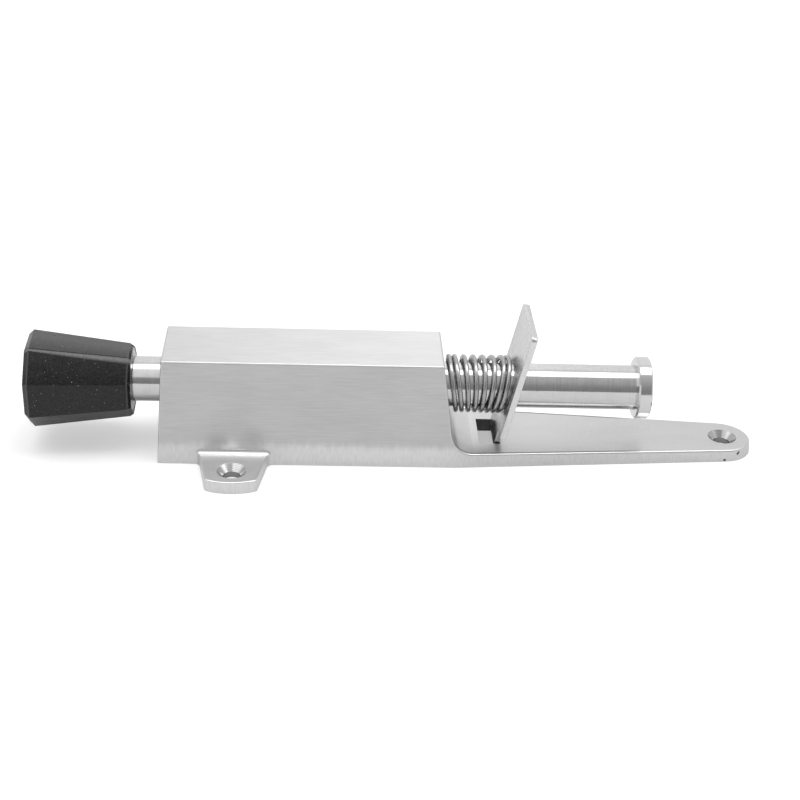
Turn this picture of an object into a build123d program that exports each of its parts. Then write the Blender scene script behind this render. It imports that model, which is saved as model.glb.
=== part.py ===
from build123d import *
import math
import os

# Foot-operated plunger door holder, lying on its mounting face.
# +X runs along the rod from the rubber foot to the push head, +Z points up from the mounting face.
# The origin is on the mounting face, under the rod, on the line of the two ear holes.
# All lengths are in millimetres and all angles in degrees.

# Cast housing, a block whose four sides lean inwards
base_left = -20.1
base_right = 59.1
base_width = 27.6
body_height = 28.6
side_draft = 6.0
left_draft = 2.6
right_draft = 8.2
corner_round = 0.5
cut_margin = 6.0

# Tongue that runs on from the housing as one casting
tongue_root = 3.75
tongue_tip = 3.2
nose_centre = 132.8
nose_length = 8.6
nose_half_width = 8.2
root_fillet = 6.2

# Ears with one screw hole each, and the third hole in the tongue
ear_spacing = 45.0
ear_reach = 28.85
ear_bow = 1.5
ear_root_half = 8.9
ear_tip_half = 6.75
ear_flare = 1.3
ear_thickness = 3.25
ear_draft = 3.0
ear_corner = 1.5
ear_overlap = 1.0
ear_fillet = 1.3
ear_edge_round = 0.3
tongue_hole = 133.6
screw_hole = 4.5
screw_sink = 7.9
sink_angle = 90.0

# Rod and the chamber that it runs in
rod_height = 18.0
rod_diameter = 12.0
rod_running = 0.05
chamber_diameter = 17.0
end_wall = 6.0
bush_length = 8.0
bush_recess = 1.0
bush_chamfer = 0.6

# Push head on the rod's upper end
head_diameter = 16.8
head_thickness = 3.15
head_place = 108.0
head_chamfer = 0.5
spigot_diameter = 8.0
spigot_length = 2.2
spigot_clearance = 0.1

# Locking plate, whose tab stands in a slot of the tongue
plate_thickness = 1.65
plate_width = 22.4
plate_lean = 12.2
plate_top = 34.3
plate_shoulder = 3.5
plate_tab = 1.15
plate_corner = 1.2
plate_hole_play = 0.5
slot_left = 65.8
slot_right = 71.56
slot_width = 13.6
tab_play = 0.4
pivot_play = 0.05

# Spring between the housing and the locking plate
plate_wire = 1.4
plate_coil = 15.74
plate_coil_lift = 0.35
plate_turns = 7.85
plate_steps = 16
closed_gap = 0.1
seat_gap = 0.05
wire_flats = 8

# Spring in the chamber that lifts the foot, with its seat and the ring that stops the rod
return_wire = 1.3
return_coil = 15.6
return_turns = 13
return_steps = 8
seat_thickness = 1.0
seat_clearance = 0.15
ring_thickness = 1.2
ring_diameter = 16.0
groove_depth = 0.8
ring_opening = 60.0
stop_gap = 0.1

# Rubber foot on the rod's lower end
foot_across = 26.1
foot_neck_across = 19.5
foot_length = 27.3
foot_turn = 3.6
foot_drop = 0.45
foot_edge = 1.3
foot_neck_edge = 0.5
foot_washer_diameter = 17.2
foot_washer_thickness = 0.9
foot_washer_proud = 0.1
foot_washer_play = 0.1
foot_gap = 8.0
foot_recess_diameter = 14.0
foot_recess_depth = 7.0

# Screw that clamps the foot to the rod
foot_thread = 6.0
foot_thread_depth = 14.0
foot_thread_spare = 2.0
foot_screw_head = 11.0
foot_screw_height = 3.6
socket_across = 4.0
socket_depth = 2.2
cup_thickness = 1.2
cup_diameter = 13.0


tiny = 0.01


def lean(angle):
    return math.tan(math.radians(angle))


def left_face(z):
    return base_left + z * lean(left_draft)


def right_face(z):
    return base_right - z * lean(right_draft)


half_base = base_width / 2
rod_radius = rod_diameter / 2
running_radius = rod_radius + rod_running
chamber_end = right_face(rod_height) - end_wall
bush_left = left_face(rod_height) + bush_recess
bush_right = bush_left + bush_length
nose_tip = nose_centre + nose_length

# The tongue's straight edges run from the housing's corners and meet the round nose at a tangent.
reach = nose_centre - base_right
edge_slope = (
    half_base * reach
    - math.sqrt(
        (half_base * reach) ** 2
        - (reach**2 - nose_length**2) * (half_base**2 - nose_half_width**2)
    )
) / (reach**2 - nose_length**2)
edge_at_nose = half_base - edge_slope * reach
meet_x = nose_centre + nose_length**2 * edge_slope / edge_at_nose
meet_y = nose_half_width**2 / edge_at_nose
nose_angle = math.degrees(math.atan2(meet_y / nose_half_width, (meet_x - nose_centre) / nose_length))


def tongue_top(x):
    share = (x - base_right) / (nose_tip - base_right)
    return tongue_root + share * (tongue_tip - tongue_root)


def rod_plane(x):
    return Plane(origin=(x, 0, rod_height), x_dir=(0, 1, 0), z_dir=(1, 0, 0))


# Housing: the side view crossed with the leaning plan view
top_left = left_face(body_height)
top_right = right_face(body_height)
with BuildPart() as housing:
    with BuildSketch(Plane.XY) as plan:
        with BuildLine():
            Polyline(
                (meet_x, meet_y),
                (base_right, half_base),
                (base_left - cut_margin, half_base),
                (base_left - cut_margin, -half_base),
                (base_right, -half_base),
                (meet_x, -meet_y),
            )
            EllipticalCenterArc(
                (nose_centre, 0),
                nose_length,
                nose_half_width,
                start_angle=-nose_angle,
                arc_size=2 * nose_angle,
            )
        make_face()
    extrude(amount=body_height + cut_margin, taper=side_draft)
    with BuildSketch(Plane.XZ) as side_view:
        with BuildLine():
            Polyline(
                (base_left, 0),
                (top_left, body_height),
                (top_right, body_height),
                (right_face(tongue_root), tongue_root),
                (nose_tip + cut_margin, tongue_top(nose_tip + cut_margin)),
                (nose_tip + cut_margin, 0),
                close=True,
            )
        make_face()
        inner_corner = side_view.vertices().sort_by_distance((right_face(tongue_root), tongue_root))[0]
        fillet(inner_corner, radius=root_fillet)
    extrude(amount=base_width, both=True, mode=Mode.INTERSECT)

    # The block's edges are barely rounded, and the rounding runs on smoothly round the tongue's top edge.
    block_edges = housing.edges().filter_by(
        lambda e: e.center().X < base_right and e.center().Z > tongue_root + root_fillet
    )
    fillet(block_edges, radius=corner_round)

    # Ears
    with BuildSketch(Plane.XY) as ears:
        for side in (1, -1):
            with BuildLine():
                Polyline(
                    (-side * ear_tip_half, side * (ear_reach - ear_bow)),
                    (-side * ear_root_half, side * (half_base + ear_flare)),
                    (-side * (ear_root_half + ear_flare), side * (half_base - ear_overlap)),
                    (side * (ear_root_half + ear_flare), side * (half_base - ear_overlap)),
                    (side * ear_root_half, side * (half_base + ear_flare)),
                    (side * ear_tip_half, side * (ear_reach - ear_bow)),
                )
                ThreePointArc(
                    (side * ear_tip_half, side * (ear_reach - ear_bow)),
                    (0, side * ear_reach),
                    (-side * ear_tip_half, side * (ear_reach - ear_bow)),
                )
            make_face()
        flare_corners = ears.vertices().filter_by(lambda v: abs(abs(v.Y) - half_base - ear_flare) < tiny)
        fillet(flare_corners, radius=ear_corner)
        fillet(ears.vertices().group_by(lambda v: abs(v.Y))[-1], radius=ear_corner)
    extrude(amount=ear_thickness, taper=ear_draft)
    ear_rims = housing.edges().filter_by(
        lambda e: abs(e.center().Z - ear_thickness) < tiny and abs(e.center().Y) > half_base + ear_fillet
    )
    fillet(ear_rims, radius=ear_edge_round)
    ear_joints = housing.edges().filter_by(
        lambda e: abs(e.center().Z - ear_thickness) < tiny
        and abs(e.center().X) < ear_root_half
        and abs(e.center().Y) < half_base
    )
    fillet(ear_joints, radius=ear_fillet)

    # Screw holes, countersunk from above
    with Locations((0, ear_spacing / 2, ear_thickness), (0, -ear_spacing / 2, ear_thickness)):
        CounterSinkHole(screw_hole / 2, screw_sink / 2, counter_sink_angle=sink_angle)
    with Locations((tongue_hole, 0, tongue_top(tongue_hole))):
        CounterSinkHole(screw_hole / 2, screw_sink / 2, counter_sink_angle=sink_angle)

    # Slot for the locking plate's tab
    with BuildSketch(Plane.XY):
        with Locations(((slot_left + slot_right) / 2, 0)):
            Rectangle(slot_right - slot_left, slot_width)
    extrude(amount=body_height, mode=Mode.SUBTRACT)

    # Spring chamber from the lower end, and the rod's bore through the end wall
    with BuildSketch(rod_plane(chamber_end)):
        Circle(chamber_diameter / 2)
    extrude(amount=base_left - cut_margin - chamber_end, mode=Mode.SUBTRACT)
    with BuildSketch(rod_plane(chamber_end)):
        Circle(running_radius)
    extrude(amount=end_wall + cut_margin, mode=Mode.SUBTRACT)

# Bush pressed into the lower end, which guides the rod and carries the return spring
with BuildPart() as end_bush:
    with BuildSketch(rod_plane(bush_left)):
        Circle(chamber_diameter / 2)
        Circle(running_radius, mode=Mode.SUBTRACT)
    extrude(amount=bush_length)
    mouth = end_bush.edges().filter_by(GeomType.CIRCLE).group_by(Axis.X)[0].sort_by(SortBy.RADIUS)[0]
    chamfer(mouth, length=bush_chamfer)

# The return spring's seat and its ring stand against the end wall while the foot is up.
ring_left = chamber_end - stop_gap - ring_thickness
seat_left = ring_left - seat_thickness
foot_right = left_face(rod_height) - foot_gap
rod_left = foot_right + foot_washer_proud
foot_left = foot_right - foot_length

# Rod, turned from bar, with a groove for the ring, a spigot for the head and a tapped lower end
with BuildPart() as plunger_rod:
    with BuildSketch(rod_plane(rod_left)):
        Circle(rod_radius)
    extrude(amount=head_place - rod_left)
    with BuildSketch(rod_plane(head_place)):
        Circle(spigot_diameter / 2)
    extrude(amount=spigot_length)
    with BuildSketch(rod_plane(ring_left)):
        Circle(ring_diameter / 2)
        Circle(rod_radius - groove_depth, mode=Mode.SUBTRACT)
    extrude(amount=ring_thickness, mode=Mode.SUBTRACT)
    with BuildSketch(rod_plane(rod_left)):
        Circle(foot_thread / 2)
    extrude(amount=foot_thread_depth, mode=Mode.SUBTRACT)

with BuildPart() as push_head:
    with BuildSketch(rod_plane(head_place)):
        Circle(head_diameter / 2)
    extrude(amount=head_thickness)
    chamfer(push_head.edges().filter_by(GeomType.CIRCLE), length=head_chamfer)
    with BuildSketch(rod_plane(head_place)):
        Circle(spigot_diameter / 2 + spigot_clearance)
    extrude(amount=spigot_length + spigot_clearance, mode=Mode.SUBTRACT)

# Retaining ring in the rod's groove, open at the bottom
with BuildPart() as retaining_ring:
    with BuildSketch(rod_plane(ring_left)):
        Circle(ring_diameter / 2)
        Circle(rod_radius - groove_depth, mode=Mode.SUBTRACT)
        with BuildLine():
            half_opening = math.radians(ring_opening / 2)
            Polyline(
                (0, 0),
                (ring_diameter * math.sin(half_opening), -ring_diameter * math.cos(half_opening)),
                (-ring_diameter * math.sin(half_opening), -ring_diameter * math.cos(half_opening)),
                close=True,
            )
        make_face(mode=Mode.SUBTRACT)
    extrude(amount=ring_thickness)

with BuildPart() as spring_seat:
    with BuildSketch(rod_plane(seat_left)):
        Circle(ring_diameter / 2)
        Circle(rod_radius + seat_clearance, mode=Mode.SUBTRACT)
    extrude(amount=seat_thickness)

# Locking plate, drawn on its side towards the housing: the plane's Y runs up the plate, its normal points to the head
plate_up = Vector(math.sin(math.radians(plate_lean)), 0, math.cos(math.radians(plate_lean)))
plate_normal = Vector(math.cos(math.radians(plate_lean)), 0, -math.sin(math.radians(plate_lean)))
pivot_height = tongue_top(slot_right)
plate_back = Vector(slot_right, 0, pivot_height) - plate_normal * pivot_play
plate_front = plate_back - plate_normal * plate_thickness
plate_middle = plate_back - plate_normal * (plate_thickness / 2)
hole_up = (rod_height - plate_middle.Z) / plate_up.Z
tab_half = slot_width / 2 - tab_play
plate_plane = Plane(origin=plate_front, x_dir=(0, 1, 0), z_dir=plate_normal)
with BuildPart() as locking_plate:
    with BuildSketch(plate_plane) as blank:
        with BuildLine():
            Polyline(
                (-tab_half, -plate_tab),
                (tab_half, -plate_tab),
                (tab_half, plate_shoulder),
                (plate_width / 2, plate_shoulder),
                (plate_width / 2, plate_top),
                (-plate_width / 2, plate_top),
                (-plate_width / 2, plate_shoulder),
                (-tab_half, plate_shoulder),
                close=True,
            )
        make_face()
    extrude(amount=plate_thickness)
    top_corners = locking_plate.edges().filter_by(Axis(plate_front, plate_normal)).group_by(Axis.Z)[-1]
    fillet(top_corners, radius=plate_corner)
    with BuildSketch(plate_plane):
        with Locations((0, hole_up)):
            Circle(rod_radius + plate_hole_play)
    extrude(amount=plate_thickness, mode=Mode.SUBTRACT)


# Both springs are coils of wire between two seats. Their wire has flats and runs in straight steps, to keep
# the faces few.
def coil_spring(wire, coil, height, turns, steps, near_seat, far_seat):
    closed = wire + closed_gap
    inner_radius = coil / 2 - wire
    step_angle = math.pi / steps
    radius = inner_radius / math.cos(step_angle) + wire / 2

    def place(turn):
        angle = 2 * math.pi * turn
        y = radius * math.cos(angle)
        z = height + radius * math.sin(angle)
        near = near_seat(z) + wire / 2 + seat_gap
        far = far_seat(z) - wire / 2 - seat_gap
        first = min(turn, 1)
        last = max(turn - turns + 1, 0)
        middle = min(max((turn - 1) / (turns - 2), 0), 1)
        return Vector(near + closed * (first + last) + (far - near - 2 * closed) * middle, y, z)

    count = round(turns * steps)
    with BuildPart() as spring:
        for i in range(count + 1):
            turn = turns * i / count
            centre = place(turn)
            ahead = place(turn + turns / count / 2) - place(turn - turns / count / 2)
            outward = Vector(0, centre.Y, centre.Z - height)
            with BuildSketch(Plane(origin=centre, x_dir=outward, z_dir=ahead)):
                RegularPolygon(wire / 2, wire_flats, rotation=180 / wire_flats)
        loft(ruled=True)
    return spring


def plate_face(z):
    return plate_front.X + (z - plate_front.Z) * lean(plate_lean) - seat_gap


plate_spring = coil_spring(
    plate_wire, plate_coil, rod_height + plate_coil_lift, plate_turns, plate_steps, right_face, plate_face
)
return_spring = coil_spring(
    return_wire, return_coil, rod_height, return_turns, return_steps, lambda z: bush_right, lambda z: seat_left
)

# Rubber foot: a tapered octagon, wider at the floor, that sits a little low on its screw
foot_outline = (
    (foot_left, foot_across / 2 - foot_edge),
    (foot_left + foot_edge, foot_across / 2),
    (foot_right - foot_neck_edge, foot_neck_across / 2),
    (foot_right, foot_neck_across / 2 - foot_neck_edge),
)
with BuildPart() as rubber_foot:
    for x, corner_radius in foot_outline:
        with BuildSketch(rod_plane(x)):
            with Locations((0, -foot_drop)):
                RegularPolygon(corner_radius, 8, rotation=22.5 + foot_turn)
    loft(ruled=True)
    with BuildSketch(rod_plane(foot_right)):
        Circle(foot_washer_diameter / 2 + foot_washer_play)
    extrude(amount=foot_washer_proud - foot_washer_thickness, mode=Mode.SUBTRACT)
    with BuildSketch(rod_plane(foot_left)):
        Circle(foot_recess_diameter / 2)
    extrude(amount=foot_recess_depth, mode=Mode.SUBTRACT)
    with BuildSketch(rod_plane(foot_left)):
        Circle(foot_thread / 2)
    extrude(amount=foot_length, mode=Mode.SUBTRACT)

with BuildPart() as foot_washer:
    with BuildSketch(rod_plane(rod_left)):
        Circle(foot_washer_diameter / 2)
        Circle(foot_thread / 2, mode=Mode.SUBTRACT)
    extrude(amount=-foot_washer_thickness)

# Washer and socket screw in the foot's recess
cup_left = foot_left + foot_recess_depth - cup_thickness
with BuildPart() as cup_washer:
    with BuildSketch(rod_plane(cup_left)):
        Circle(cup_diameter / 2)
        Circle(foot_thread / 2, mode=Mode.SUBTRACT)
    extrude(amount=cup_thickness)

with BuildPart() as foot_screw:
    with BuildSketch(rod_plane(cup_left - foot_screw_height)):
        Circle(foot_screw_head / 2)
    extrude(amount=foot_screw_height)
    with BuildSketch(rod_plane(cup_left)):
        Circle(foot_thread / 2)
    extrude(amount=rod_left + foot_thread_depth - foot_thread_spare - cup_left)
    with BuildSketch(rod_plane(cup_left - foot_screw_height)):
        RegularPolygon(socket_across / 2, 6, major_radius=False)
    extrude(amount=socket_depth, mode=Mode.SUBTRACT)

pieces = {
    "housing": housing,
    "end_bush": end_bush,
    "plunger_rod": plunger_rod,
    "push_head": push_head,
    "retaining_ring": retaining_ring,
    "spring_seat": spring_seat,
    "locking_plate": locking_plate,
    "plate_spring": plate_spring,
    "return_spring": return_spring,
    "rubber_foot": rubber_foot,
    "foot_washer": foot_washer,
    "cup_washer": cup_washer,
    "foot_screw": foot_screw,
}
os.makedirs("parts", exist_ok=True)
for name, piece in pieces.items():
    piece.part.label = name
    export_step(piece.part, f"parts/{name}.step")
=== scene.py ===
import bpy
import bmesh
import math
from mathutils import Matrix, Vector


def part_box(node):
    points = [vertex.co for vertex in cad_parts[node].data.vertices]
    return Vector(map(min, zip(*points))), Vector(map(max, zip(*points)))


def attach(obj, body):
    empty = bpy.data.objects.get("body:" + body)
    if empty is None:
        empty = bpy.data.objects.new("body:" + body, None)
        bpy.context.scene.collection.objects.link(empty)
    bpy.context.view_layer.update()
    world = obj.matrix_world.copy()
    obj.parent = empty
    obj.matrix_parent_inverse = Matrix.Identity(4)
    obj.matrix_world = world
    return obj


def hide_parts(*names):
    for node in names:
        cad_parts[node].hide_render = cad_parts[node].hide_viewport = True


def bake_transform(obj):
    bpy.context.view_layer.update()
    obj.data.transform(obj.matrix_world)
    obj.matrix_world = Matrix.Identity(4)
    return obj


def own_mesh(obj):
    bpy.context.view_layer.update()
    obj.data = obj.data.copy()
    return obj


# Foot-operated plunger door holder, lying on its mounting face as it was photographed.
# Sizes in the dictionaries are in millimetres and degrees. mm turns them to metres.

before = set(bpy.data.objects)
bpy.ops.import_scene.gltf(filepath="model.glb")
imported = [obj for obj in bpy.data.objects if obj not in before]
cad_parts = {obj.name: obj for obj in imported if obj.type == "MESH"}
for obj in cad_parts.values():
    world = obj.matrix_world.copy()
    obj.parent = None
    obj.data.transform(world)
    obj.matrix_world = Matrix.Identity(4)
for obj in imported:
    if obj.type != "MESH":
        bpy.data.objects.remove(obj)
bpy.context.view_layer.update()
scene = bpy.context.scene
mm = 0.001
print("frame loaded with", len(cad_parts), "nodes")


# Small helpers

soft = {"interpolation_type": "SMOOTHSTEP"}  # makes a Map Range node ease in and out
mostNoise = (0.3, 0.7)  # a noise pattern seldom leaves these values


def inMetres(sizes):
    return [size * mm for size in sizes]


def hexColour(code):  # sRGB hex to the linear colour that shaders take
    shares = [int(code[i:i + 2], 16) / 255 for i in (0, 2, 4)]
    return [s / 12.92 if s <= 0.04045 else ((s + 0.055) / 1.055) ** 2.4 for s in shares] + [1.0]


def addNode(tree, kind, inputs=(), **settings):
    # Inputs go by name, or in the node's own order. Each is a value, a socket, or a node to link from.
    node = tree.nodes.new(kind)
    for name, value in settings.items():
        setattr(node, name, value)
    for name, value in inputs.items() if isinstance(inputs, dict) else enumerate(inputs):
        if isinstance(value, bpy.types.Node):
            value = next(socket for socket in value.outputs if socket.enabled)
        if isinstance(value, bpy.types.NodeSocket):
            tree.links.new(value, node.inputs[name])
        else:
            node.inputs[name].default_value = value
    return node


def addOverlap(tree, *masks):  # 1 only where each mask is 1
    overlap = masks[0]
    for mask in masks[1:]:
        overlap = addNode(tree, "ShaderNodeMath", (overlap, mask), operation="MULTIPLY")
    return overlap


def addBand(tree, value, first, last, edge):  # 1 from first to last, with soft sides
    rise = addNode(tree, "ShaderNodeMapRange", (value, first - edge, first + edge), **soft)
    fall = addNode(tree, "ShaderNodeMapRange", (value, last + edge, last - edge), **soft)
    return addOverlap(tree, rise, fall)


def addGain(tree, shade, mask, gain):  # the shade, times gain where the mask is 1
    times = addNode(tree, "ShaderNodeMix", {"Factor": mask, "A": 1.0, "B": gain})
    return addNode(tree, "ShaderNodeMath", (shade, times), operation="MULTIPLY")


def addStreaks(tree, where, spacing, detail=3.0, roughness=0.6):  # noise drawn out along each axis
    scaled = addNode(tree, "ShaderNodeMapping", {"Vector": where, "Scale": [1 / (s * mm) for s in spacing]})
    return addNode(
        tree, "ShaderNodeTexNoise", {"Vector": scaled, "Scale": 1.0, "Detail": detail, "Roughness": roughness}
    )


def startMaterial(name):
    material = bpy.data.materials.new(name)
    material.use_nodes = True
    tree = material.node_tree
    tree.nodes.clear()
    return material, tree, addNode(tree, "ShaderNodeTexCoord").outputs


def endMaterial(material, surface):  # surface is what the one shader takes, by socket
    shader = addNode(material.node_tree, "ShaderNodeBsdfPrincipled", surface)
    addNode(material.node_tree, "ShaderNodeOutputMaterial", {"Surface": shader})
    return material


def addPiece(name, mesh):
    piece = bpy.data.objects.new(name, mesh)
    scene.collection.objects.link(piece)
    return piece


def softenEdges(piece, s):
    bevel = piece.modifiers.new("softEdges", "BEVEL")
    bevel.width = s["softEdge"] * mm
    bevel.segments = s["softSteps"]
    bevel.limit_method = "ANGLE"
    bevel.angle_limit = math.radians(s["softFrom"])
    bevel.harden_normals = True


# Camera, fitted to the photograph

viewpoint = {
    "target": (44.24, 0.1, 12.8),
    "distance": 440.2,
    "elevation": 28.13,
    "turn": 3.28,
    "roll": 2.57,
    "lens": 73.22,
    "sensor": 36.0,
    "clipStart": 20.0,
}


def makeCamera(v):
    turn, elevation, roll = (math.radians(v[k]) for k in ("turn", "elevation", "roll"))
    ahead = Vector((
        math.sin(turn) * math.cos(elevation),
        math.cos(turn) * math.cos(elevation),
        -math.sin(elevation),
    ))
    level = Vector((math.cos(turn), -math.sin(turn), 0))
    upward = level.cross(ahead)
    across = level * math.cos(roll) + upward * math.sin(roll)
    upward = upward * math.cos(roll) - level * math.sin(roll)
    data = bpy.data.cameras.new("camera")
    data.lens = v["lens"]
    data.sensor_width = v["sensor"]
    data.clip_start = v["clipStart"] * mm
    camera = addPiece("camera", data)
    place = Matrix((across, upward, -ahead)).transposed().to_4x4()
    place.translation = (Vector(v["target"]) - ahead * v["distance"]) * mm
    camera.matrix_world = place
    scene.camera = camera


makeCamera(viewpoint)
print("camera placed")


# Studio: a white floor, a grey surround, and a soft strip of light overhead that is brighter on the right

studio = {
    "floorSize": 6000,
    "floorDrop": 0.02,
    "floorSeen": 0.68,  # the paper as the camera sees it, with some light of its own to thin the shadow
    "floorLift": 0.35,
    "floorReflected": 0.70,  # the paper as the steel shows it
    # brightness round the rod's axis, by angle from the camera's side over the top to the far side
    "surround": [
        (0, 0.28), (14, 0.28), (28, 0.34), (42, 0.44), (56, 0.52), (76, 0.60), (112, 0.82), (126, 0.98),
        (150, 0.96), (180, 0.90),
    ],
    "softSide": 6,  # how soft the lights' long sides are
    # the strip overhead
    "stripFrom": 80,
    "stripTo": 104,
    "stripLeft": 1.8,
    "stripRight": 4.4,
    "stripReach": 0.22,
    # a broad soft light on the left
    "leftFrom": 33,
    "leftTo": 106,
    "leftPower": 0.62,
    "leftFade": (-0.02, -0.12),
    # a bright patch on the far side, a little right of the middle
    "farFrom": 118,
    "farLeft": 1.0,
    "farRight": 1.45,
    "farRise": (-0.12, 0.085),
    "farFall": (0.15, 0.095),
    "below": 0.9,
    "sides": 0.85,
    "sidesFade": (0.35, 0.85),
}


def makeWorld(s):
    world = bpy.data.worlds.new("studio")
    world.use_nodes = True
    tree = world.node_tree
    tree.nodes.clear()
    place = addNode(tree, "ShaderNodeTexCoord").outputs
    axes = addNode(tree, "ShaderNodeSeparateXYZ", (place["Generated"],)).outputs
    towards = addNode(tree, "ShaderNodeMath", (axes["Y"], -1.0), operation="MULTIPLY")
    angle = addNode(tree, "ShaderNodeMath", (axes["Z"], towards), operation="ARCTAN2")
    share = addNode(tree, "ShaderNodeMath", (angle, math.pi), operation="DIVIDE")
    surround = addNode(tree, "ShaderNodeValToRGB", (share,))
    stops = surround.color_ramp.elements
    while len(stops) < len(s["surround"]):
        stops.new(0.5)
    for stop, (degrees, brightness) in zip(stops, s["surround"]):
        stop.position = degrees / 180
        stop.color = [brightness] * 3 + [1.0]

    edge = math.radians(s["softSide"])
    far = math.radians(s["farFrom"])
    isFar = addNode(tree, "ShaderNodeMapRange", (angle, far - 2 * edge, far + 2 * edge), **soft)
    rise = addNode(tree, "ShaderNodeMapRange", (axes["X"], *s["farRise"]), **soft)
    fall = addNode(tree, "ShaderNodeMapRange", (axes["X"], *s["farFall"]), **soft)
    patch = addOverlap(tree, rise, fall, isFar)
    farGain = addNode(tree, "ShaderNodeMix", {"Factor": patch, "A": s["farLeft"], "B": s["farRight"]})
    base = addNode(tree, "ShaderNodeMath", (surround, farGain), operation="MULTIPLY")

    left = addBand(tree, angle, math.radians(s["leftFrom"]), math.radians(s["leftTo"]), edge)
    leftPower = addNode(
        tree, "ShaderNodeMapRange", (axes["X"], *s["leftFade"], 0.0, s["leftPower"]), **soft
    )
    withLeft = addNode(tree, "ShaderNodeMath", (left, leftPower, base), operation="MULTIPLY_ADD")

    strip = addBand(tree, angle, math.radians(s["stripFrom"]), math.radians(s["stripTo"]), edge)
    reach = s["stripReach"]
    stripPower = addNode(
        tree, "ShaderNodeMapRange", (axes["X"], -reach, reach, s["stripLeft"], s["stripRight"]), **soft
    )
    over = addNode(tree, "ShaderNodeMath", (strip, stripPower, withLeft), operation="MULTIPLY_ADD")

    sideways = addNode(tree, "ShaderNodeMath", (axes["X"],), operation="ABSOLUTE")
    toSides = addNode(tree, "ShaderNodeMapRange", (sideways, *s["sidesFade"]), **soft)
    above = addNode(tree, "ShaderNodeMix", {"Factor": toSides, "A": over, "B": s["sides"]})
    isAbove = addNode(tree, "ShaderNodeMath", (axes["Z"], 0.0), operation="GREATER_THAN")
    strength = addNode(tree, "ShaderNodeMix", {"Factor": isAbove, "A": s["below"], "B": above})
    rays = addNode(tree, "ShaderNodeLightPath").outputs
    plain = addNode(tree, "ShaderNodeBackground", {"Color": (1, 1, 1, 1), "Strength": 1.0})
    lights = addNode(tree, "ShaderNodeBackground", {"Color": (1, 1, 1, 1), "Strength": strength})
    shown = addNode(tree, "ShaderNodeMixShader", (rays["Is Camera Ray"], lights, plain))
    addNode(tree, "ShaderNodeOutputWorld", {"Surface": shown})
    scene.world = world


def makeFloor(s):
    material, tree, _ = startMaterial("whitePaperSweep")
    rays = addNode(tree, "ShaderNodeLightPath").outputs
    seen, reflected = ([s[k]] * 3 + [1.0] for k in ("floorSeen", "floorReflected"))
    shaded = addNode(tree, "ShaderNodeBsdfDiffuse", {"Color": seen})
    lifted = addNode(tree, "ShaderNodeEmission", {"Color": (1, 1, 1, 1), "Strength": s["floorLift"]})
    forCamera = addNode(tree, "ShaderNodeAddShader", (shaded, lifted))
    forSteel = addNode(tree, "ShaderNodeBsdfDiffuse", {"Color": reflected})
    paper = addNode(tree, "ShaderNodeMixShader", (rays["Is Camera Ray"], forSteel, forCamera))
    addNode(tree, "ShaderNodeOutputMaterial", {"Surface": paper})
    half = s["floorSize"] / 2 * mm
    height = -s["floorDrop"] * mm
    corners = [(x * half, y * half, height) for x, y in ((-1, -1), (1, -1), (1, 1), (-1, 1))]
    mesh = bpy.data.meshes.new("floor")
    mesh.from_pydata(corners, [], [(0, 1, 2, 3)])
    mesh.materials.append(material)
    floor = addPiece("floor", mesh)


makeWorld(studio)
makeFloor(studio)
scene.view_settings.view_transform = "Standard"
print("studio lit")


# Satin stainless steel, investment cast and then linished: long fine lines along the block,
# short upright ones on its low band, and an even bead-blasted grey on the tongue

castSteel = {
    "colour": "D3D3D3",
    "lineLength": 6.5,
    "lineWidth": 0.24,  # the real lines are near 0.1, drawn wider so that they show
    "beadSize": 0.3,  # the real dents are near 0.1
    "cloudSize": (26, 8, 8),
    "tint": (0.9, 1.05),
    "cloudTint": (0.96, 1.03),
    "roughness": (0.30, 0.38),
    "drawnOut": 0.8,
    "bump": 0.35,
    "bumpDepth": 0.012,
    "flatFacing": 0.7,
    # the band brushed upright, and painted light: the gain in brightness on its faces and on the tongue's
    "bandHeight": 5.6,
    "bandEdge": 1.6,
    "bandWander": 3.0,
    "borderSize": (1.4, 1.4, 40),
    "bandPaintedLight": 1.2,
    "earPaintedLight": 1.36,
    "tonguePaintedLight": 0.92,
    "tongueSidePaintedLight": 1.05,
    "tongueFade": (50.0, 68.0),
    # countersinks, glossy cones over necks, with painted shade darkening both and the necks the more
    "holes": [(0.0, -22.5), (0.0, 22.5), (133.6, 0.0)],
    "ringPitch": 0.32,
    "sinkRadius": 3.9,
    "sinkPaintedShade": 0.8,
    "sinkRoughness": 0.17,
    "neckRadius": 2.3,
    "neckPaintedShade": 0.4,
    # grey line painted inside the tongue's long edges: a painted reflection of the rod above them
    "tongueRoot": (59.1, 13.4),  # place along the tongue and half its width there
    "tongueTip": (139.1, 7.35),
    "lineOuter": (0.3, 0.45),
    "lineInner": (1.0125, 0.75),
    "lineStart": (58.1, 60.1),
    "lineEnd": (110.0, 104.0),
    "lineFacing": 0.35,
    "paintedRodReflection": 0.42,
    # painted shade on the slot's walls: both ends along the tongue, and half its width
    "slot": (65.7, 71.7, 6.9),
    "slotFacing": 0.5,
    "slotPaintedShade": 0.42,
    # two small nicks at the tongue's round end, painted as dark spots of shade, one of them drawn as two
    # dents: place and radius
    "nicks": [(136.55, -7.0, 1.95, 0.42), (136.85, -6.85, 2.3, 0.3), (132.95, -8.2, 0.5, 0.38)],
    "nickPaintedShade": 0.16,
}


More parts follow.
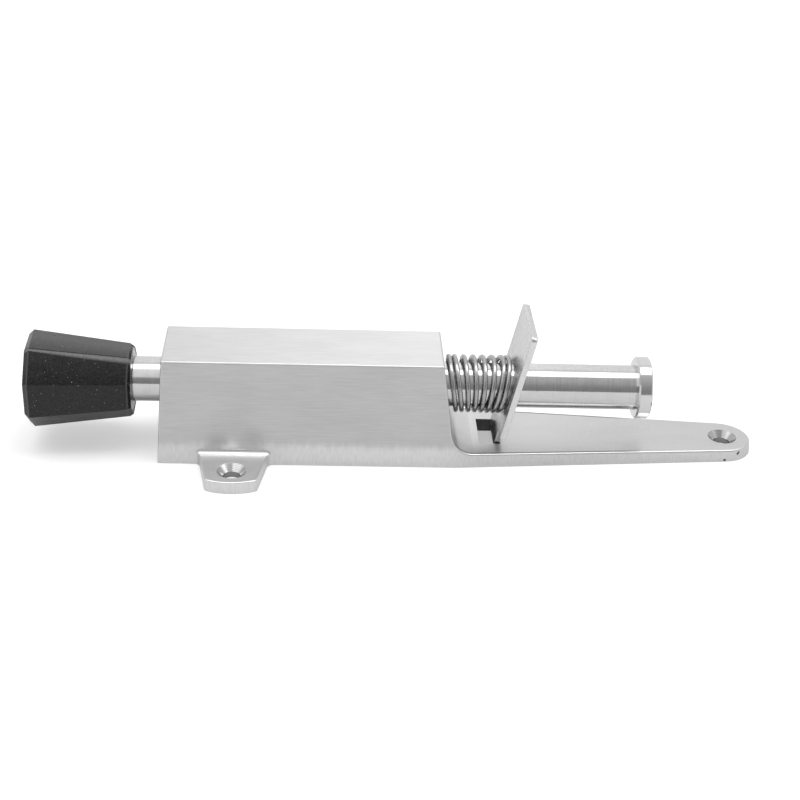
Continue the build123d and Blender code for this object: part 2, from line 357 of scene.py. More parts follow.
def addCastGrain(tree, s, where, height, facing):  # and where the low band's sides and upper faces are
    lengthwise = addStreaks(tree, where, (s["lineLength"], s["lineWidth"], s["lineWidth"]))
    upright = addStreaks(tree, where, (s["lineWidth"], s["lineWidth"], s["lineLength"] / 2))
    beads = addStreaks(tree, where, [s["beadSize"]] * 3, detail=2.0)

    # The low band was brushed by hand, so its upper border wanders
    border = addStreaks(tree, where, s["borderSize"], detail=2.0)
    wandering = addNode(
        tree, "ShaderNodeMath", (border, s["bandWander"] * mm, height), operation="MULTIPLY_ADD"
    )
    middle = s["bandHeight"] + s["bandWander"] / 2
    fade = inMetres((middle + s["bandEdge"], middle - s["bandEdge"]))
    low = addNode(tree, "ShaderNodeMapRange", (wandering, *fade), **soft)
    flat = addNode(tree, "ShaderNodeMath", (facing, s["flatFacing"]), operation="GREATER_THAN")
    lowFlat = addOverlap(tree, low, flat)
    lowSide = addNode(tree, "ShaderNodeMath", (low, lowFlat), operation="SUBTRACT")
    grain = addNode(tree, "ShaderNodeMix", {"Factor": lowSide, "A": lengthwise, "B": upright})
    grain = addNode(tree, "ShaderNodeMix", {"Factor": lowFlat, "A": grain, "B": beads})
    return grain, lowSide, lowFlat


def addTonguePaintedShade(tree, s, tint, where, axes, facing):  # painted reflection of the rod inside the long edges, and painted shade on the slot walls and in the nicks
    fromAxis = addNode(tree, "ShaderNodeMath", (axes["Y"],), operation="ABSOLUTE")
    (rootX, rootHalf), (tipX, tipHalf) = (inMetres(s[k]) for k in ("tongueRoot", "tongueTip"))
    edgeAt = addNode(tree, "ShaderNodeMapRange", (axes["X"], rootX, tipX, rootHalf, tipHalf))
    fromEdge = addNode(tree, "ShaderNodeMath", (edgeAt, fromAxis), operation="SUBTRACT")
    outer = addNode(tree, "ShaderNodeMapRange", (fromEdge, *inMetres(s["lineOuter"])))
    inner = addNode(tree, "ShaderNodeMapRange", (fromEdge, *inMetres(s["lineInner"])), **soft)
    start = addNode(tree, "ShaderNodeMapRange", (axes["X"], *inMetres(s["lineStart"])))
    end = addNode(tree, "ShaderNodeMapRange", (axes["X"], *inMetres(s["lineEnd"])))
    isUp = addNode(tree, "ShaderNodeMath", (facing, s["lineFacing"]), operation="GREATER_THAN")
    # painted reflection of the rod: the tongue's upper faces darkened in a line inside the long edges
    tint = addGain(tree, tint, addOverlap(tree, outer, inner, isUp, start, end), s["paintedRodReflection"])

    # painted shade on the slot's walls
    first, last, half = inMetres(s["slot"])
    pastFirst = addNode(tree, "ShaderNodeMath", (axes["X"], first), operation="GREATER_THAN")
    beforeLast = addNode(tree, "ShaderNodeMath", (axes["X"], last), operation="LESS_THAN")
    within = addNode(tree, "ShaderNodeMath", (fromAxis, half), operation="LESS_THAN")
    steep = addNode(tree, "ShaderNodeMath", (facing,), operation="ABSOLUTE")
    isWall = addNode(tree, "ShaderNodeMath", (steep, s["slotFacing"]), operation="LESS_THAN")
    tint = addGain(tree, tint, addOverlap(tree, pastFirst, beforeLast, within, isWall), s["slotPaintedShade"])

    # painted shade in the nicks
    for nick in s["nicks"]:
        *centre, radius = inMetres(nick)
        away = addNode(tree, "ShaderNodeVectorMath", (where, centre), operation="DISTANCE")
        inNick = addNode(tree, "ShaderNodeMath", (away, radius), operation="LESS_THAN")
        tint = addGain(tree, tint, inNick, s["nickPaintedShade"])
    return tint


def makeCastSteel(s):
    material, tree, place = startMaterial("satinCastStainless")
    where = place["Object"]
    axes = addNode(tree, "ShaderNodeSeparateXYZ", (where,)).outputs
    facing = addNode(tree, "ShaderNodeSeparateXYZ", (place["Normal"],)).outputs["Z"]
    grain, lowSide, lowFlat = addCastGrain(tree, s, where, axes["Z"], facing)

    # Turned rings inside the countersinks
    flat = addNode(tree, "ShaderNodeVectorMath", (where, (1, 1, 0)), operation="MULTIPLY")
    distances = [
        addNode(tree, "ShaderNodeVectorMath", (flat, (x * mm, y * mm, 0)), operation="DISTANCE")
        for x, y in s["holes"]
    ]
    nearest = distances[0]
    for distance in distances[1:]:
        nearest = addNode(tree, "ShaderNodeMath", (nearest, distance), operation="MINIMUM")
    inSink = addNode(tree, "ShaderNodeMath", (nearest, s["sinkRadius"] * mm), operation="LESS_THAN")
    inNeck = addNode(tree, "ShaderNodeMath", (nearest, s["neckRadius"] * mm), operation="LESS_THAN")
    turns = addNode(
        tree, "ShaderNodeMath", (nearest, 2 * math.pi / (s["ringPitch"] * mm)), operation="MULTIPLY"
    )
    rings = addNode(tree, "ShaderNodeMath", (turns,), operation="SINE")
    grain = addNode(tree, "ShaderNodeMix", {"Factor": inSink, "A": grain, "B": rings})

    # Brightness: the grain and soft clouds, painted shade in the countersinks, the tongue's painted
    # reflection and shade, then painted light as each face's own gain
    tint = addNode(tree, "ShaderNodeMapRange", (grain, *mostNoise, *s["tint"]))
    clouds = addStreaks(tree, where, s["cloudSize"], detail=2.0)
    cloudTint = addNode(tree, "ShaderNodeMapRange", (clouds, *mostNoise, *s["cloudTint"]))
    tint = addNode(tree, "ShaderNodeMath", (tint, cloudTint), operation="MULTIPLY")
    # painted shade in the countersinks, darkest in their necks
    paintedSinkShade = addNode(tree, "ShaderNodeMix", {"Factor": inNeck, "A": s["sinkPaintedShade"], "B": s["neckPaintedShade"]})
    tint = addGain(tree, tint, inSink, paintedSinkShade)
    tint = addTonguePaintedShade(tree, s, tint, where, axes, facing)
    onTongue = addNode(tree, "ShaderNodeMapRange", (axes["X"], *inMetres(s["tongueFade"])), **soft)
    sidePaintedLight, flatPaintedLight = (
        addNode(tree, "ShaderNodeMix", {"Factor": onTongue, "A": s[onBlock], "B": s[beyond]})
        for onBlock, beyond in (("bandPaintedLight", "tongueSidePaintedLight"), ("earPaintedLight", "tonguePaintedLight"))
    )
    # painted light: the low band's sides and upper faces made lighter or darker
    tint = addGain(tree, tint, lowSide, sidePaintedLight)
    tint = addGain(tree, tint, lowFlat, flatPaintedLight)

    colour = addNode(
        tree, "ShaderNodeVectorMath", {0: hexColour(s["colour"])[:3], "Scale": tint}, operation="SCALE"
    )
    dull = addNode(tree, "ShaderNodeMapRange", (grain, *mostNoise, *s["roughness"]))
    dull = addNode(tree, "ShaderNodeMix", {"Factor": inSink, "A": dull, "B": s["sinkRoughness"]})
    bump = addNode(
        tree, "ShaderNodeBump", {"Height": grain, "Strength": s["bump"], "Distance": s["bumpDepth"] * mm}
    )
    across = addNode(
        tree, "ShaderNodeMix", {"Factor": lowSide, "A": (0, 1, 1), "B": (1, 0, 0)}, data_type="VECTOR"
    )
    drawnOut = addNode(tree, "ShaderNodeMapRange", (lowFlat, 0.0, 1.0, s["drawnOut"], 0.0))
    return endMaterial(material, {
        "Metallic": 1.0,
        "Base Color": colour,
        "Roughness": dull,
        "Normal": bump,
        "Tangent": across,
        "Anisotropic": drawnOut,
    })


# Stainless bar, turned and polished: fine rings round the rod that blur reflections along it

turnedSteel = {
    "colour": "D6D6D6",
    "ringPitch": 0.26,  # the real rings are finer than 0.1
    "drift": 8.0,
    "stainSize": (3.0, 1.2, 1.2),
    "stainFrom": (0.35, 0.6),
    "stainTint": (0.93, 1.0),
    "ringTint": (0.93, 1.04),
    "roughness": (0.10, 0.17),
    "bump": 0.25,
    "bumpDepth": 0.006,
    "drawnOut": 0.75,
}


def makeTurnedSteel(s):
    material, tree, place = startMaterial("turnedStainlessBar")
    rings = addStreaks(tree, place["Object"], (s["ringPitch"], s["drift"], s["drift"]), detail=4.0)
    stains = addStreaks(tree, place["Object"], s["stainSize"], detail=4.0)
    ringTint = addNode(tree, "ShaderNodeMapRange", (rings, *mostNoise, *s["ringTint"]))
    stainTint = addNode(tree, "ShaderNodeMapRange", (stains, *s["stainFrom"], *s["stainTint"]))
    tint = addNode(tree, "ShaderNodeMath", (stainTint, ringTint), operation="MULTIPLY")
    colour = addNode(
        tree, "ShaderNodeVectorMath", {0: hexColour(s["colour"])[:3], "Scale": tint}, operation="SCALE"
    )
    dull = addNode(tree, "ShaderNodeMapRange", (rings, *mostNoise, *s["roughness"]))
    bump = addNode(
        tree, "ShaderNodeBump", {"Height": rings, "Strength": s["bump"], "Distance": s["bumpDepth"] * mm}
    )
    along = addNode(tree, "ShaderNodeCombineXYZ", {"X": 1.0})
    return endMaterial(material, {
        "Metallic": 1.0,
        "Base Color": colour,
        "Roughness": dull,
        "Normal": bump,
        "Tangent": along,
        "Anisotropic": s["drawnOut"],
    })


# Polished stainless for the push head: near mirror, with faint turned rings

headSteel = {
    "colour": "D8D8D8",
    "ringPitch": 0.3,  # the real rings are finer than 0.1
    "drift": 12.0,
    "roughness": (0.09, 0.15),
    "bump": 0.15,
    "bumpDepth": 0.004,
}


def makeHeadSteel(s):
    material, tree, place = startMaterial("polishedStainless")
    rings = addStreaks(tree, place["Object"], (s["ringPitch"], s["drift"], s["drift"]))
    dull = addNode(tree, "ShaderNodeMapRange", (rings, *mostNoise, *s["roughness"]))
    bump = addNode(
        tree, "ShaderNodeBump", {"Height": rings, "Strength": s["bump"], "Distance": s["bumpDepth"] * mm}
    )
    return endMaterial(
        material, {"Metallic": 1.0, "Base Color": hexColour(s["colour"]), "Roughness": dull, "Normal": bump}
    )


# Stainless strip, blanked and lightly ground: a fine grain up the plate, and brighter cut edges

stripSteel = {
    "colour": "D2D2D2",
    "grainLength": 7.0,
    "grainWidth": 0.3,  # the real grain is near 0.1
    "blotchSize": 2.5,
    "tint": (0.93, 1.03),
    "edgeFacing": 0.8,
    "edgeGain": 1.17,
    "roughness": (0.24, 0.34),
    "bump": 0.25,
    "bumpDepth": 0.01,
}


def makeStripSteel(s):
    material, tree, place = startMaterial("groundStainlessStrip")
    grain = addStreaks(tree, place["Object"], (s["grainWidth"], s["grainWidth"], s["grainLength"]))
    blotches = addStreaks(tree, place["Object"], [s["blotchSize"]] * 3, detail=4.0)
    sideways = addNode(tree, "ShaderNodeSeparateXYZ", (place["Normal"],)).outputs["Y"]
    sideways = addNode(tree, "ShaderNodeMath", (sideways,), operation="ABSOLUTE")
    onEdge = addNode(tree, "ShaderNodeMath", (sideways, s["edgeFacing"]), operation="GREATER_THAN")
    tint = addNode(tree, "ShaderNodeMapRange", (grain, *mostNoise, *s["tint"]))
    tint = addGain(tree, tint, onEdge, s["edgeGain"])
    colour = addNode(
        tree, "ShaderNodeVectorMath", {0: hexColour(s["colour"])[:3], "Scale": tint}, operation="SCALE"
    )
    dull = addNode(tree, "ShaderNodeMapRange", (blotches, *mostNoise, *s["roughness"]))
    bump = addNode(
        tree, "ShaderNodeBump", {"Height": grain, "Strength": s["bump"], "Distance": s["bumpDepth"] * mm}
    )
    return endMaterial(material, {"Metallic": 1.0, "Base Color": colour, "Roughness": dull, "Normal": bump})


# Bright drawn stainless wire: smooth and glossy, with soft drawing marks

wireSteel = {
    "colour": "AEAEAE",
    "markSize": 0.8,
    "roughness": (0.2, 0.3),
    "bump": 0.2,
    "bumpDepth": 0.01,
}


def makeWireSteel(s):
    material, tree, place = startMaterial("drawnStainlessWire")
    marks = addStreaks(tree, place["Object"], [s["markSize"]] * 3, detail=4.0)
    dull = addNode(tree, "ShaderNodeMapRange", (marks, *mostNoise, *s["roughness"]))
    bump = addNode(
        tree, "ShaderNodeBump", {"Height": marks, "Strength": s["bump"], "Distance": s["bumpDepth"] * mm}
    )
    return endMaterial(
        material, {"Metallic": 1.0, "Base Color": hexColour(s["colour"]), "Roughness": dull, "Normal": bump}
    )


# Bright zinc plate on the small fastenings: slightly cloudy

zincPlate = {
    "colour": "B4B4B7",
    "cloudSize": 1.6,
    "roughness": (0.2, 0.36),
    "darkHalfFade": (0.5, 3.5),
    "darkHalfLevel": 0.06,
}


def makeZincPlate(s, name, darkHalf=False):
    material, tree, place = startMaterial(name)
    clouds = addStreaks(tree, place["Object"], [s["cloudSize"]] * 3, detail=4.0)
    dull = addNode(tree, "ShaderNodeMapRange", (clouds, *mostNoise, *s["roughness"]))
    colour = hexColour(s["colour"])
    if darkHalf:  # nearly black on the -Y side, fading to bare zinc just past the middle
        across = addNode(tree, "ShaderNodeSeparateXYZ", (place["Object"],)).outputs["Y"]
        bare = addNode(
            tree, "ShaderNodeMapRange", (across, *inMetres(s["darkHalfFade"]), s["darkHalfLevel"], 1.0), **soft
        )
        colour = addNode(tree, "ShaderNodeVectorMath", {0: colour[:3], "Scale": bare}, operation="SCALE")
    return endMaterial(material, {"Metallic": 1.0, "Base Color": colour, "Roughness": dull})


# Moulded black rubber: a soft sheen, painted highlights and painted light on the facets, a pale mottle, and
# pale dust held in the surface

rubber = {
    "colour": "0C0C0C",
    "axis": 17.55,
    "floorEnd": -54.58,
    "neckEnd": -27.08,
    # edges between facets, as angles round the foot from the camera's side
    "upperEdge": 63.9,
    "middleEdge": 18.9,
    "lowerEdge": -26.1,
    # specks of dust: spacing, size as a share of it, and how many cells of the pattern stay bare
    "dust": [(0.75, 0.17, 0.24), (1.6, 0.13, 0.2)],
    "dustCover": 0.3,
    "mottleSize": 0.4,
    "mottleFrom": (0.45, 0.75),
    "mottle": 0.035,
    "patchFrom": (0.25, 0.6),
    "patch": (0.45, 1.0),
    # a painted highlight band below the upper edge: its width at both ends, in degrees
    "highlightWidthFloor": 2.6,
    "highlightWidthNeck": 12.0,
    "highlightGap": 0.8,
    "highlightRise": (-0.05, 0.12),
    "highlightFall": (1.0, 0.35),
    "paintedHighlightBand": 0.2,
    # painted light: a paler upper facet and lower facet
    "upperFacetFade": (2.0, 30.0),
    "upperFacetLight": 0.045,
    "lowerFacetFade": (1.0, -1.0),
    "lowerFacetLight": 0.045,
    # painted highlight lines, this far in from both ends
    "floorHighlightLine": 1.3,
    "neckHighlightLine": 0.9,
    "lineWidth": 0.3,
    "line": 0.06,
    "hazeSize": (5.0, 2.0, 2.0),
    "roughness": (0.26, 0.38),
    "bump": 0.3,
    "bumpDepth": 0.03,
    "frontSheen": 0.2,
    "upperSheen": 0.44,
    "lowerSheen": 0.4,
    "neckSheen": 0.12,
}


def addPaintedLightAndMottle(tree, s, along, degrees, fine):  # painted highlights and painted light on the facets, over a pale mottle
    # a painted highlight band below the upper edge, wider towards the neck
    ends = inMetres((s["floorEnd"], s["neckEnd"]))
    width = addNode(tree, "ShaderNodeMapRange", (along, *ends, s["highlightWidthFloor"], s["highlightWidthNeck"]))
    below = addNode(
        tree, "ShaderNodeMath", (s["upperEdge"] - s["highlightGap"], degrees), operation="SUBTRACT"
    )
    share = addNode(tree, "ShaderNodeMath", (below, width), operation="DIVIDE")
    start = addNode(tree, "ShaderNodeMapRange", (share, *s["highlightRise"]), **soft)
    end = addNode(tree, "ShaderNodeMapRange", (share, *s["highlightFall"]), **soft)
    patchy = addNode(tree, "ShaderNodeMapRange", (fine, *s["patchFrom"], *s["patch"]))
    paintedHighlightBand = addOverlap(tree, start, end, patchy, s["paintedHighlightBand"])
    mottle = addNode(tree, "ShaderNodeMapRange", (fine, *s["mottleFrom"], 0.0, s["mottle"]))
    pale = addNode(tree, "ShaderNodeMath", (paintedHighlightBand, mottle), operation="MAXIMUM")
    # painted light on the upper and lower facets
    for edge, fade, cover in (("upperEdge", "upperFacetFade", "upperFacetLight"), ("lowerEdge", "lowerFacetFade", "lowerFacetLight")):
        reach = [s[edge] + offset for offset in s[fade]]
        facet = addNode(tree, "ShaderNodeMapRange", (degrees, *reach, 0.0, s[cover]))
        pale = addNode(tree, "ShaderNodeMath", (pale, facet), operation="ADD")

    # painted highlight lines along the soft edges near both ends
    fade = inMetres((s["lineWidth"], s["lineWidth"] * 0.3))
    for x in inMetres((s["floorEnd"] + s["floorHighlightLine"], s["neckEnd"] - s["neckHighlightLine"])):
        offset = addNode(tree, "ShaderNodeMath", (along, x), operation="SUBTRACT")
        away = addNode(tree, "ShaderNodeMath", (offset,), operation="ABSOLUTE")
        line = addNode(tree, "ShaderNodeMapRange", (away, *fade, 0.0, s["line"]), **soft)
        line = addOverlap(tree, line, patchy)
        pale = addNode(tree, "ShaderNodeMath", (pale, line), operation="MAXIMUM")
    return pale


def addDust(tree, s, pale, where):  # each cell of a pattern holds one speck or none
    for spacing, size, bare in s["dust"]:
        scaled = addNode(
            tree, "ShaderNodeMapping", {"Vector": where, "Scale": [1 / (spacing * mm)] * 3}
        )
        cells = addNode(
            tree, "ShaderNodeTexVoronoi", {"Vector": scaled, "Scale": 1.0, "Randomness": 1.0}
        ).outputs
        chance = addNode(tree, "ShaderNodeSeparateColor", (cells["Color"],))
        reach = addNode(tree, "ShaderNodeMapRange", (chance, bare, 1.0, 0.0, size))
        core = addNode(tree, "ShaderNodeMath", (reach, 0.5), operation="MULTIPLY")
        speck = addNode(tree, "ShaderNodeMapRange", (cells["Distance"], reach, core))
        cover = addNode(tree, "ShaderNodeMath", (speck, s["dustCover"]), operation="MULTIPLY")
        pale = addNode(tree, "ShaderNodeMath", (pale, cover), operation="MAXIMUM")
    return pale


def makeRubber(s):
    material, tree, place = startMaterial("mouldedBlackRubber")
    where = place["Object"]
    axes = addNode(tree, "ShaderNodeSeparateXYZ", (where,)).outputs
    up = addNode(tree, "ShaderNodeMath", (axes["Z"], s["axis"] * mm), operation="SUBTRACT")
    towards = addNode(tree, "ShaderNodeMath", (axes["Y"], -1.0), operation="MULTIPLY")
    around = addNode(tree, "ShaderNodeMath", (up, towards), operation="ARCTAN2")
    degrees = addNode(tree, "ShaderNodeMath", (around, 180 / math.pi), operation="MULTIPLY")
    fine = addStreaks(tree, where, [s["mottleSize"]] * 3, detail=4.0, roughness=0.7)
    pale = addPaintedLightAndMottle(tree, s, axes["X"], degrees, fine)
    pale = addDust(tree, s, pale, where)
    colour = addNode(
        tree,
        "ShaderNodeMix",
        {"Factor": pale, "A": hexColour(s["colour"]), "B": (1, 1, 1, 1)},
        data_type="RGBA",
    )
    haze = addStreaks(tree, where, s["hazeSize"], detail=5.0)
    dull = addNode(tree, "ShaderNodeMapRange", (haze, *mostNoise, *s["roughness"]))
    bump = addNode(
        tree, "ShaderNodeBump", {"Height": fine, "Strength": s["bump"], "Distance": s["bumpDepth"] * mm}
    )

    # The sheen grows towards the upper edge, and the neck's end has little
    sheen = addNode(
        tree,
        "ShaderNodeMapRange",
        (degrees, s["middleEdge"], s["upperEdge"], s["frontSheen"], s["upperSheen"]),
    )
    isLower = addNode(tree, "ShaderNodeMath", (degrees, s["middleEdge"]), operation="LESS_THAN")
    sheen = addNode(tree, "ShaderNodeMix", {"Factor": isLower, "A": sheen, "B": s["lowerSheen"]})
    neckFrom = (s["neckEnd"] - s["neckHighlightLine"] + s["lineWidth"]) * mm
    isNeck = addNode(tree, "ShaderNodeMath", (axes["X"], neckFrom), operation="GREATER_THAN")
    sheen = addNode(tree, "ShaderNodeMix", {"Factor": isNeck, "A": sheen, "B": s["neckSheen"]})
    return endMaterial(material, {
        "IOR": 1.5,
        "Base Color": colour,
        "Roughness": dull,
        "Specular IOR Level": sheen,
        "Normal": bump,
    })


castMaterial = makeCastSteel(castSteel)
turnedMaterial = makeTurnedSteel(turnedSteel)
headMaterial = makeHeadSteel(headSteel)
stripMaterial = makeStripSteel(stripSteel)
wireMaterial = makeWireSteel(wireSteel)
zincMaterial = makeZincPlate(zincPlate, "brightZincPlate")
darkHalfZincMaterial = makeZincPlate(zincPlate, "darkHalfZincPlate", darkHalf=True)
rubberMaterial = makeRubber(rubber)
print("materials made")


# CAD pieces that keep their own shape and get a finish

finishes = {
    "housing": castMaterial,
    "end_bush": turnedMaterial,
    "plunger_rod": turnedMaterial,
    "push_head": headMaterial,
    "retaining_ring": wireMaterial,
    "spring_seat": zincMaterial,
    "locking_plate": stripMaterial,
    "foot_washer": darkHalfZincMaterial,
    "cup_washer": zincMaterial,
    "foot_screw": zincMaterial,
}
for node, material in finishes.items():
    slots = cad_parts[node].data.materials
    slots.clear()
    slots.append(material)
print("finishes set on", len(finishes), "pieces")


# Both springs are wire swept along a coil between two seats, by one Geometry Nodes tree

def makeCoilTree():
    tree = bpy.data.node_groups.new("coilBetweenSeats", "GeometryNodeTree")
    sizes = (
        "Wire", "Coil", "Height", "Turns", "Pitch",
        "Near", "Near Slope", "Near Closed", "Far", "Far Slope", "Far Closed",
    )
    for name in sizes:
        tree.interface.new_socket(name, in_out="INPUT", socket_type="NodeSocketFloat")
    tree.interface.new_socket("Points", in_out="INPUT", socket_type="NodeSocketInt")
    tree.interface.new_socket("Finish", in_out="INPUT", socket_type="NodeSocketMaterial")
    tree.interface.new_socket("Spring", in_out="OUTPUT", socket_type="NodeSocketGeometry")
    given = addNode(tree, "NodeGroupInput").outputs
    line = addNode(tree, "GeometryNodeCurvePrimitiveLine", {"End": (1, 0, 0)})
    path = addNode(tree, "GeometryNodeResampleCurve", {"Curve": line, "Count": given["Points"]})
    along = addNode(tree, "GeometryNodeSplineParameter").outputs["Factor"]
    turn = addNode(tree, "ShaderNodeMath", (along, given["Turns"]), operation="MULTIPLY")
    angle = addNode(tree, "ShaderNodeMath", (turn, 2 * math.pi), operation="MULTIPLY")
    across = addNode(tree, "ShaderNodeMath", (given["Coil"], given["Wire"]), operation="SUBTRACT")
    radius = addNode(tree, "ShaderNodeMath", (across, 2.0), operation="DIVIDE")
    cosine = addNode(tree, "ShaderNodeMath", (angle,), operation="COSINE")
    sine = addNode(tree, "ShaderNodeMath", (angle,), operation="SINE")
    y = addNode(tree, "ShaderNodeMath", (radius, cosine), operation="MULTIPLY")
    z = addNode(tree, "ShaderNodeMath", (radius, sine, given["Height"]), operation="MULTIPLY_ADD")
    near = addNode(tree, "ShaderNodeMath", (z, given["Near Slope"], given["Near"]), operation="MULTIPLY_ADD")
    far = addNode(tree, "ShaderNodeMath", (z, given["Far Slope"], given["Far"]), operation="MULTIPLY_ADD")

    # The turns at both ends lie close, and the ones between share what is left
    nearTurns = addNode(tree, "ShaderNodeMath", (turn, given["Near Closed"]), operation="MINIMUM")
    openEnd = addNode(tree, "ShaderNodeMath", (given["Turns"], given["Far Closed"]), operation="SUBTRACT")
    pastOpen = addNode(tree, "ShaderNodeMath", (turn, openEnd), operation="SUBTRACT")
    farTurns = addNode(tree, "ShaderNodeMath", (pastOpen, 0.0), operation="MAXIMUM")
    closedTurns = addNode(tree, "ShaderNodeMath", (nearTurns, farTurns), operation="ADD")
    openShare = addNode(tree, "ShaderNodeMapRange", (turn, given["Near Closed"], openEnd))
    allClosed = addNode(tree, "ShaderNodeMath", (given["Near Closed"], given["Far Closed"]), operation="ADD")
    closedSpan = addNode(tree, "ShaderNodeMath", (allClosed, given["Pitch"]), operation="MULTIPLY")
    wholeSpan = addNode(tree, "ShaderNodeMath", (far, near), operation="SUBTRACT")
    openSpan = addNode(tree, "ShaderNodeMath", (wholeSpan, closedSpan), operation="SUBTRACT")
    closedX = addNode(tree, "ShaderNodeMath", (closedTurns, given["Pitch"], near), operation="MULTIPLY_ADD")
    x = addNode(tree, "ShaderNodeMath", (openShare, openSpan, closedX), operation="MULTIPLY_ADD")
    point = addNode(tree, "ShaderNodeCombineXYZ", (x, y, z))
    coil = addNode(tree, "GeometryNodeSetPosition", {"Geometry": path, "Position": point})
    half = addNode(tree, "ShaderNodeMath", (given["Wire"], 2.0), operation="DIVIDE")
    section = addNode(tree, "GeometryNodeCurvePrimitiveCircle", {"Resolution": 20, "Radius": half})
    wire = addNode(
        tree, "GeometryNodeCurveToMesh", {"Curve": coil, "Profile Curve": section, "Fill Caps": True}
    )
    smooth = addNode(tree, "GeometryNodeSetShadeSmooth", {"Geometry": wire})
    whole = addNode(tree, "GeometryNodeRealizeInstances", {"Geometry": smooth})
    finished = addNode(tree, "GeometryNodeSetMaterial", {"Geometry": whole, "Material": given["Finish"]})
    addNode(tree, "NodeGroupOutput", {"Spring": finished})
    return tree


def makeByNodes(name, tree, values):  # a plain mesh, with the modifier gone
    piece = addPiece(name, bpy.data.meshes.new(name))
    modifier = piece.modifiers.new("made", "NODES")
    modifier.node_group = tree
    for socket in tree.interface.items_tree:
        if socket.name in values:
            modifier[socket.identifier] = values[socket.name]
    made = bpy.data.meshes.new_from_object(piece.evaluated_get(bpy.context.evaluated_depsgraph_get()))
    piece.modifiers.remove(modifier)
    piece.data = made
    return piece


def makeSpring(name, s, seats):  # seats are where the wire's two ends lie, and how far those lean
    return makeByNodes(name, coilTree, {
        "Wire": s["wire"] * mm,
        "Coil": s["coil"] * mm,
        "Height": s["height"] * mm,
        "Turns": s["turns"],
        "Pitch": s["closedPitch"] * mm,
        "Near Closed": s["nearClosed"],
        "Far Closed": s["farClosed"],
        "Points": round(s["turns"] * s["pointsPerTurn"]),
        "Finish": wireMaterial,
        **seats,
    })


coilTree = makeCoilTree()

plateSpring = {
    "wire": 1.3,
    "coil": 15.74,
    "height": 18.35,
    "turns": 7.85,
    "closedPitch": 1.5,
    "nearClosed": 1.25,
    "farClosed": 1.6,
    "pointsPerTurn": 72,
    "blockFace": 59.1,  # where the block's leaning end meets the mounting face
    "blockLean": -8.2,
    "nearLean": -6.2,  # the first turn stands a little off the block at the top
    "plateFace": 68.98,  # where the plate's near side would meet it
    "plateLean": 12.2,
    "seatGap": 0.05,
}
returnSpring = {
    "wire": 1.3,
    "coil": 15.6,
    "height": 18.0,
    "turns": 13.0,
    "closedPitch": 1.4,
    "nearClosed": 1.0,
    "farClosed": 1.0,
    "pointsPerTurn": 48,
    "stroke": 31.0,
    "slack": 0.06,  # so that the squashed spring stays off its seat
}


def makePlateSpring(s):
    off = s["wire"] / 2 + s["seatGap"]
    blockSlope, nearSlope, plateSlope = (
        math.tan(math.radians(s[k])) for k in ("blockLean", "nearLean", "plateLean")
    )
    touching = (s["height"] - s["coil"] / 2) * mm
    piece = makeSpring("outerSpring", s, {
        "Near": (s["blockFace"] + off) * mm + touching * (blockSlope - nearSlope),
        "Near Slope": nearSlope,
        "Far": (s["plateFace"] - off) * mm,
        "Far Slope": plateSlope,
    })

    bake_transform(piece)
    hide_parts("plate_spring")


def makeReturnSpring(s):
    low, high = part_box("return_spring")
    piece = makeSpring("innerSpring", s, {
        "Near": low.x + s["wire"] / 2 * mm,
        "Near Slope": 0.0,
        "Far": high.x - s["wire"] / 2 * mm,
        "Far Slope": 0.0,
    })
    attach(piece, "housing")
    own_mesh(piece)
    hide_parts("return_spring")


makePlateSpring(plateSpring)
makeReturnSpring(returnSpring)
print("springs wound")


# Push head: a turned disc that grips the rod's end in a shallow socket

pushHead = {
    "axis": 18.0,
    "radius": 8.4,
    "chamfer": 0.4,
    "grip": 0.55,  # how far it reaches back over the rod
    "rod": 6.03,
    "bore": 4.1,
    "boreDepth": 2.3,
    "steps": 144,
    "sharpFrom": 30,
}


def makePushHead(s):
    low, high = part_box("push_head")
    rodEnd = low.x / mm
    left = rodEnd - s["grip"]
    right = high.x / mm
    profile = [
        (rodEnd, s["bore"]),
        (rodEnd, s["rod"]),
        (left, s["rod"]),
        (left, s["radius"] - s["chamfer"]),
        (left + s["chamfer"], s["radius"]),
        (right - s["chamfer"], s["radius"]),
        (right, s["radius"] - s["chamfer"]),
        (right, 0),
        (rodEnd + s["boreDepth"], 0),
        (rodEnd + s["boreDepth"], s["bore"]),
    ]
    bm = bmesh.new()
    rings = []
    for x, radius in profile:
        ring = []
        for i in range(s["steps"] if radius else 1):
            angle = 2 * math.pi * i / s["steps"]
            across, up = radius * math.cos(angle), radius * math.sin(angle)
            ring.append(bm.verts.new(inMetres((x, across, s["axis"] + up))))
        rings.append(ring)
    for a, b in zip(rings, rings[1:] + rings[:1]):
        if len(a) == len(b) == 1:  # both on the axis
            continue
        for i in range(s["steps"]):
            j = (i + 1) % s["steps"]
            corners = [a[i % len(a)], a[j % len(a)], b[j % len(b)], b[i % len(b)]]
            bm.faces.new(list(dict.fromkeys(corners)))
    bmesh.ops.recalc_face_normals(bm, faces=bm.faces)
    mesh = bpy.data.meshes.new("pushHead")
    bm.to_mesh(mesh)
    bm.free()
    mesh.materials.append(headMaterial)
    mesh.shade_smooth()
    mesh.set_sharp_from_angle(angle=math.radians(s["sharpFrom"]))
    piece = addPiece("pushHead", mesh)
    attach(piece, "plunger")
    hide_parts("push_head")


# Locking plate: its own solid with the edges broken, as tumbling leaves them

lockingPlate = {"softEdge": 0.16, "softSteps": 2, "softFrom": 25, "sameWithin": 0.001, "flatWithin": 1}


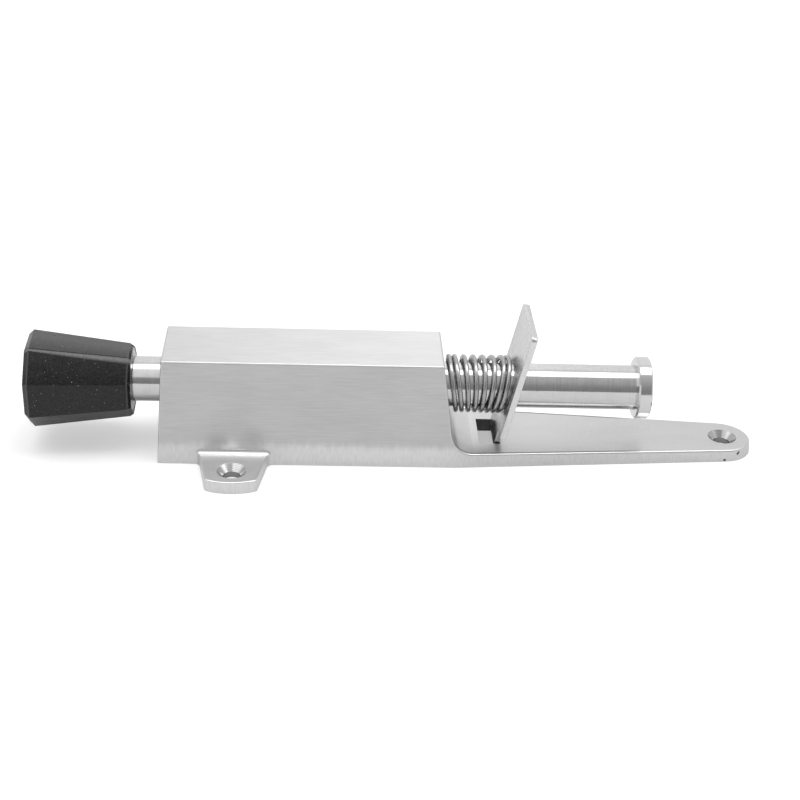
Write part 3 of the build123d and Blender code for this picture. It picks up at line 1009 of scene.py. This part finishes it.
def makeLockingPlate(s):
    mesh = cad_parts["locking_plate"].data.copy()
    bm = bmesh.new()
    bm.from_mesh(mesh)
    bmesh.ops.remove_doubles(bm, verts=bm.verts, dist=s["sameWithin"] * mm)
    bmesh.ops.dissolve_limit(
        bm, angle_limit=math.radians(s["flatWithin"]), verts=bm.verts, edges=bm.edges
    )
    bm.to_mesh(mesh)
    bm.free()
    mesh.shade_smooth()
    piece = addPiece("lockingPlate", mesh)
    softenEdges(piece, s)
    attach(piece, "plate")
    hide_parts("locking_plate")


makePushHead(pushHead)
makeLockingPlate(lockingPlate)
print("head and plate made")


# Rubber foot: a tapered octagon with soft edges, recessed for its screw and for the washer at its neck

rubberFoot = {
    "across": 26.1,
    "neckAcross": 19.5,
    "edge": 1.3,
    "neckEdge": 0.5,
    "neckRound": 0.8,
    "lip": 0.2,  # the rubber rises this far round the washer's rim
    "turn": 3.6,
    "axis": 18.0,
    "drop": 0.45,
    "recess": 14.0,
    "recessDepth": 7.0,
    "hole": 6.0,
    "washer": 17.4,
    "washerDepth": 0.8,
    "softEdge": 0.5,
    "softSteps": 3,
    "softFrom": 25,
    "sides": 8,
    "roundSteps": 8,  # points of each round opening for each side of the octagon
}


def makeRubberFoot(s):
    low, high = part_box("rubber_foot")
    bm = bmesh.new()
    count = s["sides"] * s["roundSteps"]
    side = 2 * math.pi / s["sides"]

    def addRing(x, radius, flats=False):  # round the rod's axis, or an octagon round the foot's own
        ring = []
        centre = s["axis"] - (s["drop"] if flats else 0)
        for i in range(count):
            angle = 2 * math.pi * i / count
            turned = angle + math.radians(s["turn"]) + side / 2
            reach = radius * mm
            if flats:
                reach *= math.cos(side / 2) / math.cos(angle % side - side / 2)
            place = (x, reach * math.cos(turned), centre * mm + reach * math.sin(turned))
            ring.append(bm.verts.new(place))
        return ring

    deep = low.x + s["recessDepth"] * mm
    seat = high.x - s["washerDepth"] * mm
    end = high.x + s["lip"] * mm
    neck = s["neckAcross"] / 2
    rings = [
        addRing(seat, s["hole"] / 2),
        addRing(seat, s["washer"] / 2),
        addRing(end, s["washer"] / 2),
        addRing(end, neck - s["neckEdge"], flats=True),
        addRing(end - s["neckEdge"] * mm, neck - s["neckEdge"] * 0.4, flats=True),
        addRing(end - s["neckRound"] * mm, neck + s["neckEdge"] * 0.2, flats=True),
        addRing(low.x + s["edge"] * mm, s["across"] / 2, flats=True),
        addRing(low.x, s["across"] / 2 - s["edge"], flats=True),
        addRing(low.x, s["recess"] / 2),
        addRing(deep, s["recess"] / 2),
        addRing(deep, s["hole"] / 2),
    ]
    for a, b in zip(rings, rings[1:] + rings[:1]):
        for i in range(count):
            j = (i + 1) % count
            bm.faces.new((a[i], a[j], b[j], b[i]))
    bmesh.ops.recalc_face_normals(bm, faces=bm.faces)
    mesh = bpy.data.meshes.new("rubberFoot")
    bm.to_mesh(mesh)
    bm.free()
    mesh.materials.append(rubberMaterial)
    mesh.shade_smooth()
    piece = addPiece("rubberFoot", mesh)
    softenEdges(piece, s)
    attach(piece, "plunger")
    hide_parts("rubber_foot")


makeRubberFoot(rubberFoot)
print("foot moulded")
